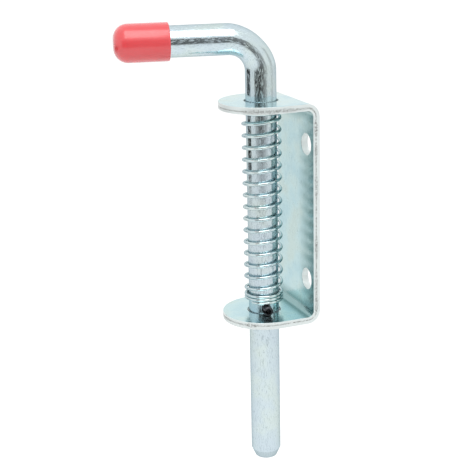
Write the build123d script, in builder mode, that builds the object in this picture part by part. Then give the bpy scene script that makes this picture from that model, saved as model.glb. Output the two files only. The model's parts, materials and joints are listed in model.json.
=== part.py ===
"""Spring latch: a bent-handle bolt that slides and turns in a U-shaped sheet bracket.

Frame: origin at the centre of the bracket's back face, +X into the wall, +Z up along the bolt.
"""

from build123d import *
from math import cos, radians, sin
import os

# Bolt: a round bar with a tapered tip below and a handle bent over above
bar_diameter = 12.7
bolt_reach = 65.0
tip_length = 3.8
tip_diameter = 9.2
handle_rise = 25.1
handle_length = 50.5
bend_radius = 13.0
handle_turn = 12.5
bar_end_chamfer = 0.8

# Bracket: folded sheet
sheet = 3.0
bracket_width = 35.0
bracket_height = 93.0
bar_to_plate = 15.0
fold_inner_radius = 2.5
sheared_edge = 0.35
bar_play = 0.75
screw_hole_diameter = 9.0
screw_hole_spacing = 57.5
screw_hole_offset = 10.7

# Roll pin: a slotted tube driven through the bolt, which stops it on the lower ear
pin_diameter = 4.0
pin_length = 20.0
pin_wall = 0.8
pin_slot = 0.9
pin_end_chamfer = 0.3
pin_gap = 0.1

# Spring: between the pin and the upper ear
wire_diameter = 1.3
coil_play = 0.6
active_turns = 15.24
closed_turns_low = 2.5
closed_turns_high = 1.0
closed_gap = 0.1
spring_seat_gap = 0.1
spring_start = 211.0

# Cap: dipped vinyl on the handle's end
cap_wall = 1.4
cap_end_wall = 2.0
cap_length = 22.0
cap_grip = 13.8
cap_end_round = 5.8
cap_rim_round = 0.5

# Places that follow from the sizes
bar_radius = bar_diameter / 2
bar_x = -(sheet + bar_to_plate)
ear_top = bracket_height / 2
ear_underside = ear_top - sheet
tip_z = -ear_top - bolt_reach
handle_z = ear_top + handle_rise
pin_z = -ear_underside + pin_gap + pin_diameter / 2
turn_sin = sin(radians(handle_turn))
turn_cos = cos(radians(handle_turn))
# Across the bolt: x out along the handle, y up, and z along the pin
handle_plane = Plane(origin=(bar_x, 0, 0), x_dir=(-turn_cos, turn_sin, 0), z_dir=(turn_sin, turn_cos, 0))
handle_axis = Axis(handle_plane.from_local_coords((0, handle_z, 0)), handle_plane.x_dir)

os.makedirs("parts", exist_ok=True)


def level(height):
    """A level plane centred on the bolt."""
    return Plane(origin=(bar_x, 0, height))


# Bracket: one strip folded into a U, its ears rounded about the bolt
with BuildPart() as bracket:
    ear_reach = sheet + bar_to_plate + bracket_width / 2
    with BuildSketch(Plane.XZ) as fold:
        Rectangle(ear_reach, bracket_height, align=(Align.MAX, Align.CENTER))
        fillet(fold.vertices().group_by(Axis.X)[-1], fold_inner_radius + sheet)
    extrude(amount=bracket_width / 2, both=True)
    with BuildSketch(Plane.XZ) as bay:
        with Locations((-sheet, 0)):
            Rectangle(ear_reach, bracket_height - 2 * sheet, align=(Align.MAX, Align.CENTER))
        fillet(bay.vertices().group_by(Axis.X)[-1], fold_inner_radius)
    extrude(amount=bracket_width / 2, both=True, mode=Mode.SUBTRACT)

    with BuildSketch(Plane.XY) as plan:
        with Locations((bar_x, 0)):
            Circle(bracket_width / 2)
        Rectangle(-bar_x, bracket_width, align=(Align.MAX, Align.CENTER))
    extrude(amount=bracket_height, both=True, mode=Mode.INTERSECT)

    sides = bracket.faces().filter_by(Axis.Y)
    ear_ends = bracket.faces().filter_by(GeomType.CYLINDER).group_by(Axis.X)[0]
    outline = (sides.edges() + ear_ends.edges()).filter_by(lambda edge: abs(edge.length - sheet) > 0.01)
    fillet(outline, sheared_edge)

    with Locations(level(0)):
        Cylinder(bar_radius + bar_play, bracket_height, mode=Mode.SUBTRACT)
    with Locations(Plane.YZ):
        with Locations(*[(-screw_hole_offset, side * screw_hole_spacing / 2) for side in (1, -1)]):
            Cylinder(screw_hole_diameter / 2, 3 * sheet, mode=Mode.SUBTRACT)
bracket.part.label = "bracket"
export_step(bracket.part, "parts/bracket.step")

# Bolt: the bar swept from its tip to the handle's end, and drilled for the pin
with BuildPart() as latch_rod:
    with BuildLine(handle_plane) as bar_path:
        corners = [(0, tip_z + tip_length), (0, handle_z), (handle_length, handle_z)]
        FilletPolyline(corners, radius=bend_radius)
    with BuildSketch(level(tip_z + tip_length)):
        Circle(bar_radius)
    sweep(path=bar_path.wire())
    handle_tip = handle_plane.from_local_coords((handle_length, handle_z, 0))
    handle_end = latch_rod.faces().sort_by_distance(handle_tip)[0]
    chamfer(handle_end.edges(), bar_end_chamfer)
    with Locations(level(tip_z)):
        Cone(tip_diameter / 2, bar_radius, tip_length, align=(Align.CENTER, Align.CENTER, Align.MIN))
    with Locations(Plane(origin=(bar_x, 0, pin_z), z_dir=handle_plane.z_dir)):
        Cylinder(pin_diameter / 2, 2 * bar_diameter, mode=Mode.SUBTRACT)
latch_rod.part.label = "latch_rod"
export_step(latch_rod.part, "parts/latch_rod.step")

# Roll pin: its slot faces level, out along the handle, clear of the spring and the ear
with BuildPart() as roll_pin:
    with BuildSketch(Plane(origin=(bar_x, 0, pin_z), x_dir=handle_plane.x_dir, z_dir=handle_plane.z_dir)):
        Circle(pin_diameter / 2)
        Circle(pin_diameter / 2 - pin_wall, mode=Mode.SUBTRACT)
        Rectangle(pin_diameter, pin_slot, align=(Align.MIN, Align.CENTER), mode=Mode.SUBTRACT)
    extrude(amount=pin_length / 2, both=True)
    rims = roll_pin.edges().filter_by(GeomType.CIRCLE).group_by(SortBy.RADIUS)[-1]
    chamfer(rims, pin_end_chamfer)
roll_pin.part.label = "roll_pin"
export_step(roll_pin.part, "parts/roll_pin.step")

# Spring: round wire, its end turns wound close
coil_radius = bar_radius + coil_play + wire_diameter / 2
closed_pitch = wire_diameter + closed_gap
closed_turns = closed_turns_low + closed_turns_high
coil_low = pin_z + pin_diameter / 2 + spring_seat_gap + wire_diameter / 2
coil_high = ear_underside - spring_seat_gap - wire_diameter / 2
active_pitch = (coil_high - coil_low - closed_pitch * closed_turns) / active_turns
low_winding = (closed_pitch, closed_turns_low)
open_winding = (active_pitch, active_turns)
high_winding = (closed_pitch, closed_turns_high)
height = coil_low
angle = spring_start
windings = []
for pitch, turns in (low_winding, open_winding, high_winding):
    winding = Helix(pitch, pitch * turns, coil_radius)
    windings.append(Location((bar_x, 0, height), (0, 0, angle)) * winding)
    height += pitch * turns
    angle += 360 * turns
coils = Wire([winding.edge() for winding in windings])
with BuildPart() as spring:
    with BuildSketch(Plane(origin=coils @ 0, z_dir=coils % 0)):
        Circle(wire_diameter / 2)
    sweep(path=coils, is_frenet=True)
spring.part.label = "spring"
export_step(spring.part, "parts/spring.step")

# Cap: a round-ended sleeve that the bar doesn't fill
with BuildPart() as grip_cap:
    cap_rim = handle_length - cap_grip
    with BuildSketch(handle_plane) as outside:
        with Locations((cap_rim, handle_z)):
            Rectangle(cap_length, bar_radius + cap_wall, align=(Align.MIN, Align.MIN))
        rim_corner, far_corner = outside.vertices().group_by(Axis.Y)[-1].sort_by(Axis.X)
        fillet(far_corner, cap_end_round)
        fillet(rim_corner, cap_rim_round)
    revolve(axis=handle_axis)
    with BuildSketch(handle_plane) as hollow:
        with Locations((cap_rim, handle_z)):
            Rectangle(cap_length - cap_end_wall, bar_radius, align=(Align.MIN, Align.MIN))
        hollow_corner = hollow.vertices().group_by(Axis.Y)[-1].sort_by(Axis.X)[-1]
        fillet(hollow_corner, cap_end_round - cap_wall)
    revolve(axis=handle_axis, mode=Mode.SUBTRACT)
grip_cap.part.label = "grip_cap"
export_step(grip_cap.part, "parts/grip_cap.step")
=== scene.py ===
"""Looks of the spring latch: a folded bracket, a bent bolt, its spring, stop pin and vinyl grip.

Metres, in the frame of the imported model: +X into the wall, +Z up along the bolt.
"""

import json
from math import cos, hypot, pi, radians, sin

import bmesh
import bpy
from mathutils import Matrix, Vector


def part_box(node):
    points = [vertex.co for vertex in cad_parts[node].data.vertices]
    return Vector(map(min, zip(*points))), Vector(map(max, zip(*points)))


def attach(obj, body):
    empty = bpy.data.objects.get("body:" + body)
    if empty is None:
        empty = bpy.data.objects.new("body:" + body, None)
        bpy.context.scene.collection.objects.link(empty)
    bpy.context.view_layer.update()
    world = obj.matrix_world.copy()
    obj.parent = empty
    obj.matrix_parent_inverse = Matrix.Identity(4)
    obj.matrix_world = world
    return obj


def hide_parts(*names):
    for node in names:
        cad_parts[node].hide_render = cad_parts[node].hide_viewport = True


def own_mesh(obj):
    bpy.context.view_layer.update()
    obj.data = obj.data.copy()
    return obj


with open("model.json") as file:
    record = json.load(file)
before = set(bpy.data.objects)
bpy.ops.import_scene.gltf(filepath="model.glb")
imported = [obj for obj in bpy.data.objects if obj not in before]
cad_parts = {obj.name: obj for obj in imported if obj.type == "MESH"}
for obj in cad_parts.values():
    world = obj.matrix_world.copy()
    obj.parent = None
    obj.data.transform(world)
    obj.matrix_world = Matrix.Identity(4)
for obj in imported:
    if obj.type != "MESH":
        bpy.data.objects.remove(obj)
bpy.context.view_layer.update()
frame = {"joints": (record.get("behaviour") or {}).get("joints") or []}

MM = 0.001
UP = Vector((0, 0, 1))
INTO_WALL = Vector((1, 0, 0))

# The camera stands where the photograph was taken from
CAMERA_PLACE = Vector((-211.1, -448.7, 134.6)) * MM
CAMERA_AZIMUTH = radians(-21.91)
CAMERA_PITCH = radians(90 - 16.54)
CAMERA_ROLL = radians(-1.25)
CAMERA_LENS = 93.17

# Places read from the frame
joints = {joint["name"]: joint for joint in frame["joints"]}
bracket_low, bracket_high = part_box("bracket")
bolt_low, bolt_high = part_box("latch_rod")
spring_low, spring_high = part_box("spring")
BAR_X = joints["turn"]["pos_m"][0]

# Bracket
SHEET = 3.0 * MM
FOLD_INNER = 2.5 * MM
EAR_TOP = bracket_high.z
EAR_END = bracket_low.x
HALF_WIDTH = bracket_high.y
EAR_HOLE = 7.1 * MM
SCREW_HOLE = 4.5 * MM
SCREW_Y = -10.7 * MM
SCREW_Z = 28.75 * MM
SHEARED_EDGE = 0.35 * MM
HOLE_SIDES = 64
FOLD_STEPS = 10
EAR_STEPS = 40
EDGE_STEPS = 3

# Bolt
BAR_RADIUS = 6.35 * MM
BAR_SIDES = 64
TIP_LENGTH = 3.8 * MM
TIP_RADIUS = 4.6 * MM
TIP_FLAT_RADIUS = TIP_RADIUS - 0.35 * MM
BEND_RADIUS = 13.0 * MM
BEND_STEPS = 28
BEND_THIN = 0.933
BEND_WIDE = 1.024
BEND_TUCK = 0.42 * MM
HANDLE_Z = bolt_high.z - BAR_RADIUS
HANDLE_TURN = radians(12.5)
HANDLE_LENGTH = 50.5 * MM
HANDLE_OUT = Vector((-cos(HANDLE_TURN), sin(HANDLE_TURN), 0))
HANDLE_SIDE = Vector((sin(HANDLE_TURN), cos(HANDLE_TURN), 0))
END_CHAMFER = 0.8 * MM

# The tip's outline, as rises above its flat end and the radius at each
TIP_PROFILE = (
    (0.15 * MM, TIP_RADIUS - 0.1 * MM),
    (0.45 * MM, TIP_RADIUS + 0.15 * MM),
    (TIP_LENGTH - 0.75 * MM, BAR_RADIUS - 0.42 * MM),
    (TIP_LENGTH - 0.60 * MM, BAR_RADIUS - 0.40 * MM),
    (TIP_LENGTH, BAR_RADIUS - 0.10 * MM),
    (TIP_LENGTH + 0.35 * MM, BAR_RADIUS),
)

# Stop pin
PIN_Z = -41.4 * MM
PIN_RADIUS = 2.0 * MM
PIN_HOLE = 2.08 * MM
PIN_WALL = 0.8 * MM
PIN_SLOT = 0.9 * MM
PIN_LENGTH = 20.0 * MM
PIN_CHAMFER = 0.3 * MM
PIN_SIDES = 64

# Spring
WIRE_RADIUS = 0.65 * MM
CORE_RADIUS = 0.10 * MM
COIL_RADIUS = (spring_high.x - spring_low.x) / 2 - WIRE_RADIUS
COIL_LOW = spring_low.z + WIRE_RADIUS
COIL_HIGH = spring_high.z - WIRE_RADIUS
CLOSED_PITCH = 1.4 * MM
CLOSED_TURNS = (2.5, 1.0)
OPEN_TURNS = 15.24
SPRING_START = radians(211.0)
WIRE_SIDES = 16
TURN_STEPS = 32

# Grip
GRIP_OUT = 36.7 * MM
GRIP_LENGTH = 22.0 * MM
GRIP_RADIUS = 7.74 * MM
GRIP_END_WALL = 2.0 * MM
GRIP_END_ROUND = 5.8 * MM
GRIP_HOLLOW_ROUND = 4.4 * MM
GRIP_RIM_ROUND = 0.5 * MM
GRIP_SIDES = 96

WELD = 0.002 * MM
RANK_STEPS = 100_000
SMOOTH_BELOW = radians(35)


# Small helpers

def finish_piece(name, bm, materials):
    """A smooth-shaded mesh object from a bmesh, sharp only at its true edges."""
    bmesh.ops.remove_doubles(bm, verts=bm.verts, dist=WELD)
    bmesh.ops.recalc_face_normals(bm, faces=bm.faces)
    mesh = bpy.data.meshes.new(name)
    bm.to_mesh(mesh)
    bm.free()
    for material in materials:
        mesh.materials.append(material)
    piece = bpy.data.objects.new(name, mesh)
    bpy.context.scene.collection.objects.link(piece)
    smooth(mesh)
    return piece


def smooth(mesh):
    """Smooth shading with sharp edges where faces meet at an angle."""
    mesh.polygons.foreach_set("use_smooth", [True] * len(mesh.polygons))
    mesh.set_sharp_from_angle(angle=SMOOTH_BELOW)


def cut(piece, cutters):
    """Cuts the cutters out of a piece for good, and removes them."""
    for cutter in cutters:
        boolean = piece.modifiers.new("cut", "BOOLEAN")
        boolean.operation = "DIFFERENCE"
        boolean.solver = "EXACT"
        boolean.object = cutter
    depsgraph = bpy.context.evaluated_depsgraph_get()
    mesh = bpy.data.meshes.new_from_object(piece.evaluated_get(depsgraph))
    piece.modifiers.clear()
    piece.data = mesh
    for cutter in cutters:
        bpy.data.objects.remove(cutter)
    put_in_order(mesh)
    smooth(mesh)


def put_in_order(mesh):
    """Lists a cut mesh's points and faces from the lowest up, because a cut may list them in any order."""
    bm = bmesh.new()
    bm.from_mesh(mesh)
    bm.verts.sort(key=lambda vert: rank(vert.co))
    bm.faces.sort(key=lambda face: rank(face.calc_center_median()))
    bm.to_mesh(mesh)
    bm.free()


def rank(point):
    """One number for a place, in whole steps of the weld distance: its height counts most, then its y."""
    x, y, z = (round(value / WELD) for value in point)
    return (z * RANK_STEPS + y) * RANK_STEPS + x


def drill(name, place, direction, radius, length):
    """A round cutter centred on place."""
    bm = bmesh.new()
    turn = UP.rotation_difference(direction).to_matrix().to_4x4()
    bmesh.ops.create_cone(bm, cap_ends=True, segments=HOLE_SIDES, radius1=radius, radius2=radius,
                          depth=length, matrix=Matrix.Translation(place) @ turn)
    return finish_piece(name, bm, [])


def push(bm, face, move=(0, 0, 0), scale=1.0):
    """Extrudes an end face, moves it on and scales it about its own centre."""
    made = bmesh.ops.extrude_face_region(bm, geom=[face])
    end = next(item for item in made["geom"] if isinstance(item, bmesh.types.BMFace))
    drop_inner(bm, face)
    bmesh.ops.translate(bm, verts=end.verts, vec=move)
    if scale != 1.0:
        centre = Matrix.Translation(-end.calc_center_median())
        bmesh.ops.scale(bm, verts=end.verts, vec=(scale, scale, scale), space=centre)
    return end


def drop_inner(bm, face):
    """Removes the face that an extrusion left inside the piece; the piece's first end stays closed."""
    if all(len(edge.link_faces) > 2 for edge in face.edges):
        bmesh.ops.delete(bm, geom=[face], context="FACES_ONLY")


# Shader helpers

def colour(red, green, blue):
    """A colour from the screen's 0 to 255 values, as the shader wants it."""
    def linear(value):
        share = value / 255
        return share / 12.92 if share <= 0.04045 else ((share + 0.055) / 1.055) ** 2.4
    return (linear(red), linear(green), linear(blue), 1)


def node(tree, kind, sockets=None, **settings):
    """Adds a shader node; a socket takes either a value or another node's output."""
    made = tree.nodes.new(kind)
    for name, value in settings.items():
        setattr(made, name, value)
    for name, value in (sockets or {}).items():
        fill(tree, made.inputs[name], value)
    return made


def fill(tree, socket, value):
    """Links another node's output to a socket, or sets the socket to a plain value."""
    if isinstance(value, bpy.types.NodeSocket):
        tree.links.new(value, socket)
    else:
        socket.default_value = value


def new_material(name):
    """An empty material and its node tree."""
    material = bpy.data.materials.new(name)
    material.use_nodes = True
    material.node_tree.nodes.clear()
    return material, material.node_tree


def show(tree, shader):
    """Links a shader to the material's output."""
    node(tree, "ShaderNodeOutputMaterial", {"Surface": shader.outputs[0]})


def object_place(tree):
    """The place of a point in the frame, in metres."""
    return node(tree, "ShaderNodeTexCoord").outputs["Object"]


def parts_of(tree, vector):
    """The vector's X, Y and Z."""
    return node(tree, "ShaderNodeSeparateXYZ", {"Vector": vector}).outputs


def maths(tree, operation, *values):
    """The result of one maths node."""
    return node(tree, "ShaderNodeMath", dict(enumerate(values)), operation=operation).outputs[0]


def noise(tree, vector, scale, detail, roughness=0.5):
    """A noise value with features about 1 / scale metres across."""
    return node(tree, "ShaderNodeTexNoise", {"Vector": vector, "Scale": scale, "Detail": detail,
                                             "Roughness": roughness}).outputs["Fac"]


def between(tree, value, low, high, to_low, to_high):
    """Maps value from low..high to to_low..to_high, clamped."""
    return node(tree, "ShaderNodeMapRange", {"Value": value, "From Min": low, "From Max": high,
                                             "To Min": to_low, "To Max": to_high}).outputs["Result"]


def drawn_out(tree, vector, rise):
    """The vector with its Z scaled down, which draws a pattern out along the bar."""
    return node(tree, "ShaderNodeMapping", {"Vector": vector, "Scale": (1, 1, rise)}).outputs["Vector"]


def blended(tree, share, first, second):
    """Two colours mixed by a share."""
    mixed = node(tree, "ShaderNodeMix", data_type="RGBA")
    for socket, value in ((mixed.inputs[0], share), (mixed.inputs[6], first), (mixed.inputs[7], second)):
        fill(tree, socket, value)
    return mixed.outputs[2]


def bumped(tree, height, distance):
    """The normal of a surface that a height roughens."""
    sockets = {"Height": height, "Strength": 1.0, "Distance": distance}
    return node(tree, "ShaderNodeBump", sockets).outputs["Normal"]


# Finishes: the scales of their patterns, in features a metre
DRIFT = 90
DIRT_SPOTS = 900
FINE_LINES = 2600
COARSE_LINES = 700
EVENNESS = 160
MATT_FLECKS = 2900
TEARS = 1500
TEAR_SPECKS = 2300
TEAR_DRIFT = 120
OIL_BLOTCHES = 900
VINYL_CLOUDS = 150
VINYL_RIPPLES = 260

# Finishes: how deep their bumps are
BRACKET_GRAIN = 0.005 * MM
BOLT_GRAIN = 0.010 * MM
WIRE_GRAIN = 0.001 * MM
TEAR_DEPTH = 0.05 * MM
OIL_DEPTH = 0.02 * MM
RIPPLE_DEPTH = 0.05 * MM

# Finishes: tints, and how much of the mirrored light is left at a grazing angle
BRACKET_TINTS = (colour(190, 222, 228), colour(200, 228, 230), colour(204, 226, 223))
BOLT_TINTS = (colour(203, 218, 226), colour(206, 221, 226), colour(210, 224, 223))
WIRE_TINTS = (colour(194, 212, 217), colour(204, 221, 224), colour(214, 227, 226))
FLAT_RIM = (1, 1, 1, 1)
ROUND_RIM = (0.62, 0.68, 0.70, 1)
DIRT_TINT = colour(92, 104, 108)
# The colour of the painted shade in the plate's folds and of the painted reflection of the spring near its
# front edge
PAINTED_SHADE_AND_REFLECTION_TINT = colour(146, 180, 181)
TIP_TINT = colour(172, 188, 193)
SHEARED_TINT = colour(232, 240, 239)
TORN_TINT = colour(92, 90, 86)
OIL_TINTS = (colour(52, 50, 54), colour(96, 96, 100))
VINYL_TINTS = (colour(246, 74, 80), colour(250, 92, 98))

# Where the plate's painted shade and painted reflection deepen: each pair is where a fade starts and ends
FRONT_FADE = (-3.2 * MM, -10.4 * MM)
PLATE_FADE = (-8.0 * MM, -5.5 * MM)
BELOW_EAR_FADE = (40.0 * MM, 34.0 * MM)
FOLD_FADE = (37.0 * MM, 41.0 * MM)
EAR_FADE = (44.0 * MM, 44.5 * MM)
# The painted reflection's bands, at the spring's coil pitch
REFLECTED_COIL_PITCH = 5.14 * MM
REFLECTED_COIL_LEAST = 0.60

# The line between burnished and torn metal on a cut edge, in shares of the sheet's depth
TORN_LINE = 0.42
TORN_REACH = (0.14, 0.36)


# Materials

def zinc(name, tints, rim, roughness, grain, speck, fleck, follow=None, toned=None):
    """Bright plating: its tint drifts, and grain, specks and matt flecks break up what it reflects."""
    material, tree = new_material(name)
    if follow:
        place = node(tree, "ShaderNodeAttribute", attribute_name=follow).outputs["Vector"]
    else:
        place = object_place(tree)
    ramp = node(tree, "ShaderNodeValToRGB", {"Fac": noise(tree, place, DRIFT, detail=3)})
    ramp.color_ramp.elements[0].position = 0.36
    ramp.color_ramp.elements[0].color = tints[0]
    ramp.color_ramp.elements[1].position = 0.64
    ramp.color_ramp.elements[1].color = tints[2]
    ramp.color_ramp.elements.new(0.5).color = tints[1]
    spots = noise(tree, drawn_out(tree, place, 0.5), DIRT_SPOTS, detail=3, roughness=0.6)
    dirt = between(tree, spots, 0.70, 0.78, 0, speck)
    tint = blended(tree, dirt, ramp.outputs["Color"], DIRT_TINT)
    # On the bracket this step paints shade into the folds and a reflection of the spring near the front edge
    if toned:
        tint = toned(tree, place, tint)
    fine = noise(tree, drawn_out(tree, place, 0.30), FINE_LINES, detail=2)
    coarse = noise(tree, drawn_out(tree, place, 0.15), COARSE_LINES, detail=3)
    normal = bumped(tree, maths(tree, "ADD", fine, coarse), grain)
    even = between(tree, noise(tree, place, EVENNESS, detail=3), 0.35, 0.65, *roughness)
    flecks = noise(tree, drawn_out(tree, place, 0.16), MATT_FLECKS, detail=3, roughness=0.7)
    matt = maths(tree, "ADD", even, between(tree, flecks, 0.50, 0.62, 0, fleck))
    show(tree, node(tree, "ShaderNodeBsdfPrincipled", {
        "Base Color": tint, "Metallic": 1.0, "Roughness": matt, "Specular Tint": rim, "Normal": normal}))
    return material


def turned_tip(tree, place, tint):
    """Darkens the bolt's tip a little, up to the end of its taper."""
    taper_end = bolt_low.z + TIP_LENGTH
    share = between(tree, parts_of(tree, place)["Z"], taper_end - 0.4 * MM, taper_end, 0.6, 0)
    return blended(tree, share, tint, TIP_TINT)


def painted_reflection_and_shade(tree, place, tint):
    """Paints shade into the plate's folds, and a painted reflection of the spring towards its front edge, in
    bands at the coils' pitch.
    """
    parts = parts_of(tree, place)
    turns = maths(tree, "MULTIPLY", parts["Z"], 2 * pi / REFLECTED_COIL_PITCH)
    share = between(tree, maths(tree, "SINE", turns), -1, 1, REFLECTED_COIL_LEAST, 1)
    share = maths(tree, "MULTIPLY", share, between(tree, parts["Y"], *FRONT_FADE, 0, 1))
    share = maths(tree, "MULTIPLY", share, between(tree, parts["Z"], *BELOW_EAR_FADE, 0, 1))
    height = maths(tree, "ABSOLUTE", parts["Z"])
    share = maths(tree, "MAXIMUM", share, between(tree, height, *FOLD_FADE, 0, 1))
    share = maths(tree, "MULTIPLY", share, between(tree, parts["X"], *PLATE_FADE, 0, 1))
    share = maths(tree, "MULTIPLY", share, between(tree, height, *EAR_FADE, 1, 0))
    return blended(tree, share, tint, PAINTED_SHADE_AND_REFLECTION_TINT)


def sheared_zinc(name, torn_share):
    """The sheet's cut edge: a burnished band, then a torn one, with dark specks where the two meet."""
    material, tree = new_material(name)
    place = object_place(tree)
    depth = node(tree, "ShaderNodeAttribute", attribute_name="depth").outputs["Fac"]
    near = maths(tree, "ABSOLUTE", maths(tree, "SUBTRACT", depth, TORN_LINE))
    reach = between(tree, noise(tree, place, TEAR_DRIFT, detail=1), 0.45, 0.62, *TORN_REACH)
    line = between(tree, maths(tree, "DIVIDE", near, reach), 0.2, 1, torn_share, 0)
    specks = between(tree, noise(tree, place, TEAR_SPECKS, detail=3, roughness=0.7), 0.42, 0.58, 0, 1)
    tint = blended(tree, maths(tree, "MULTIPLY", line, specks), SHEARED_TINT, TORN_TINT)
    normal = bumped(tree, noise(tree, place, TEARS, detail=3, roughness=0.65), TEAR_DEPTH)
    show(tree, node(tree, "ShaderNodeBsdfPrincipled", {
        "Base Color": tint, "Metallic": 0.45, "Roughness": 0.42, "Normal": normal}))
    return material


def dark_steel():
    """The stop pin's oiled spring steel."""
    material, tree = new_material("dark_steel")
    blotch = noise(tree, object_place(tree), OIL_BLOTCHES, detail=3)
    tint = blended(tree, blotch, *OIL_TINTS)
    matt = between(tree, blotch, 0.3, 0.7, 0.30, 0.50)
    show(tree, node(tree, "ShaderNodeBsdfPrincipled", {
        "Base Color": tint, "Metallic": 1.0, "Roughness": matt, "Normal": bumped(tree, blotch, OIL_DEPTH)}))
    return material


def red_vinyl():
    """Dipped vinyl: glossy, a little see-through, with a soft unevenness."""
    material, tree = new_material("red_vinyl")
    place = object_place(tree)
    tint = blended(tree, noise(tree, place, VINYL_CLOUDS, detail=2), *VINYL_TINTS)
    normal = bumped(tree, noise(tree, place, VINYL_RIPPLES, detail=1), RIPPLE_DEPTH)
    show(tree, node(tree, "ShaderNodeBsdfPrincipled", {
        "Base Color": tint, "Roughness": 0.24, "IOR": 1.46, "Transmission Weight": 0.2,
        "Coat Weight": 1.0, "Coat Roughness": 0.22, "Normal": normal}))
    return material


# The bracket's tint holds painted shade in its folds and a painted reflection of the spring near its front
# edge
bracket_zinc = zinc("bracket_zinc", BRACKET_TINTS, FLAT_RIM, roughness=(0.14, 0.22), grain=BRACKET_GRAIN,
                    speck=0.35, fleck=0.12, toned=painted_reflection_and_shade)
bolt_zinc = zinc("bolt_zinc", BOLT_TINTS, ROUND_RIM, roughness=(0.07, 0.12), grain=BOLT_GRAIN,
                 speck=0.5, fleck=0.5, follow="straight", toned=turned_tip)
spring_zinc = zinc("spring_zinc", WIRE_TINTS, ROUND_RIM, roughness=(0.04, 0.07), grain=WIRE_GRAIN,
                   speck=0.2, fleck=0.0)
sheared = sheared_zinc("sheared_zinc", torn_share=0.85)
bored = sheared_zinc("bored_zinc", torn_share=0)
pin_steel = dark_steel()
vinyl = red_vinyl()


# Bracket

# The bracket's materials, by their place in its list
PLATED, SHEARED, BORED = range(3)


def folded_bracket():
    """One strip of sheet, folded twice, with its ears rounded about the bolt."""
    bm = bmesh.new()
    fold_x = -(SHEET + FOLD_INNER)
    fold_z = EAR_TOP - SHEET - FOLD_INNER
    strip_end = Vector((EAR_END, 0, EAR_TOP - SHEET / 2))
    facing = Matrix.Translation(strip_end) @ Matrix.Rotation(pi / 2, 4, "Y")
    facing = facing @ Matrix.Diagonal((SHEET / 2, HALF_WIDTH, 1, 1))
    bmesh.ops.create_grid(bm, x_segments=1, y_segments=1, size=1, matrix=facing)
    bm.faces.ensure_lookup_table()
    end = push(bm, bm.faces[0], (fold_x - EAR_END, 0, 0))
    end = fold(bm, end, (fold_x, 0, fold_z))
    end = push(bm, end, (0, 0, -2 * fold_z))
    end = fold(bm, end, (fold_x, 0, -fold_z))
    push(bm, end, (EAR_END - fold_x, 0, 0))
    bmesh.ops.recalc_face_normals(bm, faces=bm.faces)
    corners = [edge for edge in bm.edges
               if all(abs(vert.co.x - EAR_END) < WELD for vert in edge.verts)
               and abs(edge.verts[0].co.y - edge.verts[1].co.y) < WELD]
    bmesh.ops.bevel(bm, geom=corners, offset=HALF_WIDTH - WELD, segments=EAR_STEPS, profile=0.5,
                    affect="EDGES", material=-1)
    piece = finish_piece("folded_bracket", bm, [bracket_zinc, sheared, bored])
    cut(piece, [drill("ear_holes", Vector((BAR_X, 0, 0)), UP, EAR_HOLE, 3 * EAR_TOP),
                drill("upper_screw", Vector((0, SCREW_Y, SCREW_Z)), INTO_WALL, SCREW_HOLE, 4 * SHEET),
                drill("lower_screw", Vector((0, SCREW_Y, -SCREW_Z)), INTO_WALL, SCREW_HOLE, 4 * SHEET)])
    mark_sheared(piece.data, fold_x, fold_z)
    rounded = piece.modifiers.new("sheared_edge", "BEVEL")
    rounded.width = SHEARED_EDGE
    rounded.segments = EDGE_STEPS
    rounded.limit_method = "ANGLE"
    rounded.angle_limit = SMOOTH_BELOW
    rounded.harden_normals = True
    return piece


def fold(bm, face, centre):
    """Bends the strip a quarter turn about a line across it."""
    made = bmesh.ops.spin(bm, geom=[face], cent=centre, axis=(0, 1, 0), angle=pi / 2, steps=FOLD_STEPS)
    drop_inner(bm, face)
    return next(item for item in made["geom_last"] if isinstance(item, bmesh.types.BMFace))


def sheet_depth(point, fold_x, fold_z):
    """0 on the inside of the folded sheet and 1 on its outside."""
    across = max(point.x - fold_x, 0)
    along = max(abs(point.z) - fold_z, 0)
    return (hypot(across, along) - FOLD_INNER) / SHEET


def mark_sheared(mesh, fold_x, fold_z):
    """Gives cut edges and hole walls their own material, and each vertex its depth in the sheet."""
    depth = mesh.attributes.new("depth", "FLOAT", "POINT")
    depths = [sheet_depth(vert.co, fold_x, fold_z) for vert in mesh.vertices]
    depth.data.foreach_set("value", depths)
    for face in mesh.polygons:
        spread = [depths[index] for index in face.vertices]
        goes_through = max(spread) - min(spread) > 0.5
        if goes_through:
            face.material_index = BORED if in_a_hole(face.center) else SHEARED
        else:
            face.material_index = PLATED


def in_a_hole(point):
    """Whether a point lies on the wall of an ear's hole or a screw's."""
    round_bar = hypot(point.x - BAR_X, point.y) < EAR_HOLE + SHEARED_EDGE
    round_screw = hypot(point.y - SCREW_Y, abs(point.z) - SCREW_Z) < SCREW_HOLE + SHEARED_EDGE
    return round_bar or round_screw


# Bolt

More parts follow.
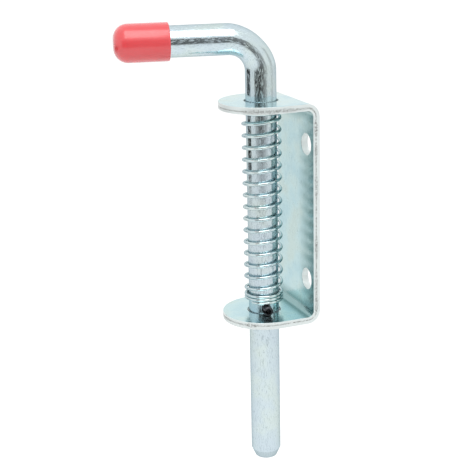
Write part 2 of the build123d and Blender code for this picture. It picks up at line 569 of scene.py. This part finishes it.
def bent_bolt():
    """A round bar from its tapered tip, up through the bracket and over to the handle."""
    bm = bmesh.new()
    tip = Vector((BAR_X, 0, bolt_low.z))
    bmesh.ops.create_circle(bm, cap_ends=True, segments=BAR_SIDES, radius=TIP_FLAT_RADIUS,
                            matrix=Matrix.Translation(tip))
    bm.faces.ensure_lookup_table()
    end = bm.faces[0]
    for rise, radius in TIP_PROFILE:
        end = push(bm, end, (0, 0, tip.z + rise - end.calc_center_median().z), radius / ring_radius(end))
    # The rings beside the pin's hole keep the faces that it cuts short
    for height in (PIN_Z - 2 * PIN_HOLE, PIN_Z + 2 * PIN_HOLE, HANDLE_Z - BEND_RADIUS):
        end = push(bm, end, (0, 0, height - end.calc_center_median().z))
    end = bend(bm, end)
    end = push(bm, end, HANDLE_OUT * (HANDLE_LENGTH - BEND_RADIUS - END_CHAMFER))
    push(bm, end, HANDLE_OUT * END_CHAMFER, 1 - END_CHAMFER / BAR_RADIUS)
    piece = finish_piece("bent_bolt", bm, [bolt_zinc])
    cut(piece, [drill("pin_hole", Vector((BAR_X, 0, PIN_Z)), HANDLE_SIDE, PIN_HOLE, 4 * BAR_RADIUS)])
    mark_straight(piece.data)
    return piece


def ring_radius(face):
    """The radius of an end face's ring."""
    return (face.verts[0].co - face.calc_center_median()).length


def bend(bm, face):
    """Turns the bar over into the handle; the bend draws it thinner and presses it a little wider."""
    centre = Vector((BAR_X, 0, HANDLE_Z - BEND_RADIUS)) + HANDLE_OUT * BEND_RADIUS
    turn = Matrix.Rotation(-pi / 2 / BEND_STEPS, 3, HANDLE_SIDE)
    before = (1.0, 1.0, 0.0)
    for step in range(1, BEND_STEPS + 1):
        angle = pi / 2 * step / BEND_STEPS
        face = push(bm, face)
        bmesh.ops.rotate(bm, verts=face.verts, cent=centre, matrix=turn)
        outward = -HANDLE_OUT * cos(angle) + UP * sin(angle)
        swell = sin(2 * angle) ** 2 if angle < pi / 4 else sin(2 * angle)
        now = (1 - (1 - BEND_THIN) * swell, 1 + (BEND_WIDE - 1) * swell, -BEND_TUCK * swell)
        axes = Matrix((outward, HANDLE_SIDE, outward.cross(HANDLE_SIDE))).to_4x4()
        place = axes @ Matrix.Translation(-face.calc_center_median())
        bmesh.ops.scale(bm, verts=face.verts, vec=(now[0] / before[0], now[1] / before[1], 1), space=place)
        bmesh.ops.translate(bm, verts=face.verts, vec=outward * (now[2] - before[2]))
        before = now
    return face


def mark_straight(mesh):
    """Gives each vertex its place on the bar as it was before bending, for the drawing lines."""
    along_start = HANDLE_Z - BEND_RADIUS
    attribute = mesh.attributes.new("straight", "FLOAT_VECTOR", "POINT")
    places = []
    for vert in mesh.vertices:
        point = vert.co - Vector((BAR_X, 0, 0))
        out = point.dot(HANDLE_OUT)
        side = point.dot(HANDLE_SIDE)
        rise = point.z - along_start
        if rise <= 0:
            places.extend((out, side, point.z))
        elif out >= BEND_RADIUS:
            places.extend((BEND_RADIUS - rise, side, along_start + BEND_RADIUS * pi / 2 + out - BEND_RADIUS))
        else:
            reach = hypot(BEND_RADIUS - out, rise)
            turned = Vector((BEND_RADIUS - out, rise)).angle_signed(Vector((1, 0)))
            places.extend((BEND_RADIUS - reach, side, along_start + BEND_RADIUS * abs(turned)))
    attribute.data.foreach_set("vector", places)


# Stop pin

def stop_pin():
    """A tube with an open slot, spun round from one side of the slot to the other."""
    bm = bmesh.new()
    centre = Vector((BAR_X, 0, PIN_Z))
    outer = PIN_RADIUS
    half = PIN_LENGTH / 2
    section = ((outer - PIN_WALL, -half), (outer - PIN_CHAMFER, -half), (outer, PIN_CHAMFER - half),
               (outer, half - PIN_CHAMFER), (outer - PIN_CHAMFER, half), (outer - PIN_WALL, half))
    verts = [bm.verts.new(centre + HANDLE_OUT * out + HANDLE_SIDE * side) for out, side in section]
    wall = bm.faces.new(verts)
    gap = PIN_SLOT / (outer - PIN_WALL / 2)
    bmesh.ops.rotate(bm, verts=verts, cent=centre, matrix=Matrix.Rotation(gap / 2, 3, HANDLE_SIDE))
    bmesh.ops.spin(bm, geom=[wall], cent=centre, axis=HANDLE_SIDE, angle=2 * pi - gap, steps=PIN_SIDES)
    return finish_piece("stop_pin", bm, [pin_steel])


# Spring

def coil_spring():
    """A thin wire wound in three stretches; the modifier gives it its full thickness at any height."""
    bm = bmesh.new()
    axis = Vector((BAR_X, 0, COIL_LOW))
    out = Vector((cos(SPRING_START), sin(SPRING_START), 0))
    upright = Matrix((out, UP, out.cross(UP))).transposed().to_4x4()
    made = bmesh.ops.create_circle(bm, cap_ends=False, segments=WIRE_SIDES, radius=CORE_RADIUS,
                                   matrix=Matrix.Translation(axis + out * COIL_RADIUS) @ upright)
    ring = made["verts"] + bm.edges[:]
    low_turns, high_turns = CLOSED_TURNS
    open_rise = COIL_HIGH - COIL_LOW - CLOSED_PITCH * sum(CLOSED_TURNS)
    for turns, rise in ((low_turns, CLOSED_PITCH * low_turns), (OPEN_TURNS, open_rise),
                        (high_turns, CLOSED_PITCH * high_turns)):
        steps = round(turns * TURN_STEPS)
        spun = bmesh.ops.spin(bm, geom=ring, cent=axis, axis=UP, dvec=(0, 0, rise / steps),
                              angle=2 * pi * turns, steps=steps)
        ring = spun["geom_last"]
    bmesh.ops.holes_fill(bm, edges=[edge for edge in bm.edges if edge.is_boundary], sides=WIRE_SIDES)
    piece = finish_piece("coil_spring", bm, [spring_zinc])
    thick = piece.modifiers.new("wire_thickness", "DISPLACE")
    thick.direction = "NORMAL"
    thick.mid_level = 0
    thick.strength = WIRE_RADIUS - CORE_RADIUS
    return piece


# Grip

def vinyl_grip():
    """A round-ended sleeve turned about the handle's axis, open at its rim and hollow past the bar."""
    bm = bmesh.new()
    start = Vector((BAR_X, 0, HANDLE_Z)) + HANDLE_OUT * GRIP_OUT
    inner_end = GRIP_LENGTH - GRIP_END_WALL
    section = ((GRIP_LENGTH, 0), (GRIP_LENGTH, GRIP_RADIUS), (0, GRIP_RADIUS), (0, BAR_RADIUS),
               (inner_end, BAR_RADIUS), (inner_end, 0))
    verts = [bm.verts.new(start + HANDLE_OUT * out + UP * radius) for out, radius in section]
    for first, second in zip(verts, verts[1:]):
        bm.edges.new((first, second))
    for vert, radius, steps in ((verts[1], GRIP_END_ROUND, 16), (verts[2], GRIP_RIM_ROUND, 4),
                                (verts[4], GRIP_HOLLOW_ROUND, 12)):
        bmesh.ops.bevel(bm, geom=[vert], offset=radius, segments=steps, profile=0.5, affect="VERTICES",
                        material=-1)
    bmesh.ops.spin(bm, geom=bm.verts[:] + bm.edges[:], cent=start, axis=HANDLE_OUT, angle=2 * pi,
                   steps=GRIP_SIDES, use_merge=True)
    return finish_piece("vinyl_grip", bm, [vinyl])


bracket = folded_bracket()
bolt = bent_bolt()
pin = stop_pin()
spring = coil_spring()
grip = vinyl_grip()

for piece, body, cad_node, slot in (
    (bracket, "bracket", "bracket", "bracket_zinc"),
    (bolt, "bolt", "latch_rod", "bolt_zinc"),
    (pin, "bolt", "roll_pin", "pin_steel"),
    (spring, "spring", "spring", "spring_wire"),
    (grip, "bolt", "grip_cap", "red_vinyl"),
):
    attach(piece, body)
    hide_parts(cad_node)
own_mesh(spring)


# Studio

FLOOR_DROP = 250 * MM
FLOOR_SIZE = 30.0
FLOOR_PAINT = (0.92, 0.92, 0.92, 1)
WHITE = (1, 1, 1, 1)
CARD_LOW = -160 * MM
CARD_HIGH = 303 * MM
CARD_FADE = 90 * MM


def share_of_rays(tree, camera, mirrored, other=0.0):
    """One strength for the camera's rays, one for those off or through the object, one for the rest."""
    path = node(tree, "ShaderNodeLightPath").outputs
    off = maths(tree, "MAXIMUM", path["Is Glossy Ray"], path["Is Transmission Ray"])
    strength = between(tree, off, 0, 1, other, mirrored)
    return maths(tree, "MAXIMUM", strength, maths(tree, "MULTIPLY", path["Is Camera Ray"], camera))


def sheet_of(name, width, height, place, facing, material):
    """A flat sheet for the floor or a card, turned to face a direction."""
    bm = bmesh.new()
    turn = facing.to_track_quat("Z", "Y").to_matrix().to_4x4()
    size = Matrix.Diagonal((width / 2, height / 2, 1, 1))
    bmesh.ops.create_grid(bm, x_segments=1, y_segments=1, size=1,
                          matrix=Matrix.Translation(place) @ turn @ size)
    card = finish_piece(name, bm, [material])
    return card


def pale_floor():
    """A wide pale floor under the latch, which keeps its shadow."""
    material, tree = new_material("pale_floor")
    paint = node(tree, "ShaderNodeBsdfDiffuse", {"Color": FLOOR_PAINT})
    glow = share_of_rays(tree, camera=0.4, mirrored=0.16)
    light = node(tree, "ShaderNodeEmission", {"Color": WHITE, "Strength": glow})
    show(tree, node(tree, "ShaderNodeAddShader", {0: paint.outputs[0], 1: light.outputs[0]}))
    place = Vector((0, 0, bolt_low.z - FLOOR_DROP))
    sheet_of("studio_floor", FLOOR_SIZE, FLOOR_SIZE, place, UP, material)


def white_world():
    """White where it is seen, and gentler as a light."""
    world = bpy.data.worlds.new("white_world")
    world.use_nodes = True
    tree = world.node_tree
    tree.nodes.clear()
    strength = share_of_rays(tree, camera=1.0, mirrored=1.0, other=0.75)
    sky = node(tree, "ShaderNodeBackground", {"Color": WHITE, "Strength": strength})
    node(tree, "ShaderNodeOutputWorld", {"Surface": sky.outputs[0]})
    bpy.context.scene.world = world


def dark_card(name, shade, azimuth, distance, width, low, high, fade, right_share=1.0):
    """An upright dark card that only the plating and the gloss show; it fades out below and to its right."""
    toward = Vector((-sin(azimuth), -cos(azimuth), 0))
    rightward = Vector((cos(azimuth), -sin(azimuth), 0))
    middle = Vector((BAR_X, 0, (low + high) / 2)) + toward * distance
    centre = middle.dot(rightward)
    material, tree = new_material(name)
    place = object_place(tree)
    across = node(tree, "ShaderNodeVectorMath", {0: place, 1: rightward}, operation="DOT_PRODUCT")
    upper = between(tree, parts_of(tree, place)["Z"], low, low + fade, 0, 1)
    left = between(tree, across.outputs["Value"], centre, centre + width / 2, 1, right_share)
    dark = node(tree, "ShaderNodeEmission", {"Color": (shade, shade, shade, 1)})
    clear = node(tree, "ShaderNodeBsdfTransparent")
    show(tree, node(tree, "ShaderNodeMixShader", {
        0: maths(tree, "MULTIPLY", upper, left), 1: clear.outputs[0], 2: dark.outputs[0]}))
    card = sheet_of(name, width, high - low, middle, -toward, material)
    card.visible_camera = False
    card.visible_diffuse = False
    card.visible_transmission = False
    card.visible_shadow = False


def lamp(name, place, aim, size, power):
    """A soft square lamp."""
    light = bpy.data.lights.new(name, "AREA")
    light.size = size
    light.energy = power
    holder = bpy.data.objects.new(name, light)
    bpy.context.scene.collection.objects.link(holder)
    holder.location = place
    holder.rotation_euler = (aim - place).to_track_quat("-Z", "Y").to_euler()


pale_floor()
white_world()
# The dark streak along the middle of the bar
dark_card("front_card", shade=0.06, azimuth=radians(23), distance=0.54, width=1.18,
          low=CARD_LOW, high=CARD_HIGH, fade=CARD_FADE, right_share=0.4)
# The thin dark line down the bar's left side
dark_card("side_card", shade=0.01, azimuth=radians(126), distance=0.50, width=0.36,
          low=-130 * MM, high=-8 * MM, fade=20 * MM)
# The soft grey line down its right side
dark_card("edge_card", shade=0.68, azimuth=radians(-67), distance=0.50, width=0.19,
          low=CARD_LOW, high=CARD_HIGH, fade=CARD_FADE)
lamp("roof_lamp", place=Vector((-0.20, -0.42, 0.88)), aim=Vector((BAR_X, 0, 0)), size=0.8, power=5)

camera_data = bpy.data.cameras.new("camera")
camera_data.lens = CAMERA_LENS
camera = bpy.data.objects.new("camera", camera_data)
bpy.context.scene.collection.objects.link(camera)
turned = Matrix.Rotation(CAMERA_AZIMUTH, 4, "Z") @ Matrix.Rotation(CAMERA_PITCH, 4, "X")
camera.matrix_world = Matrix.Translation(CAMERA_PLACE) @ turned @ Matrix.Rotation(CAMERA_ROLL, 4, "Z")
bpy.context.scene.camera = camera
bpy.context.scene.view_settings.view_transform = "Standard"
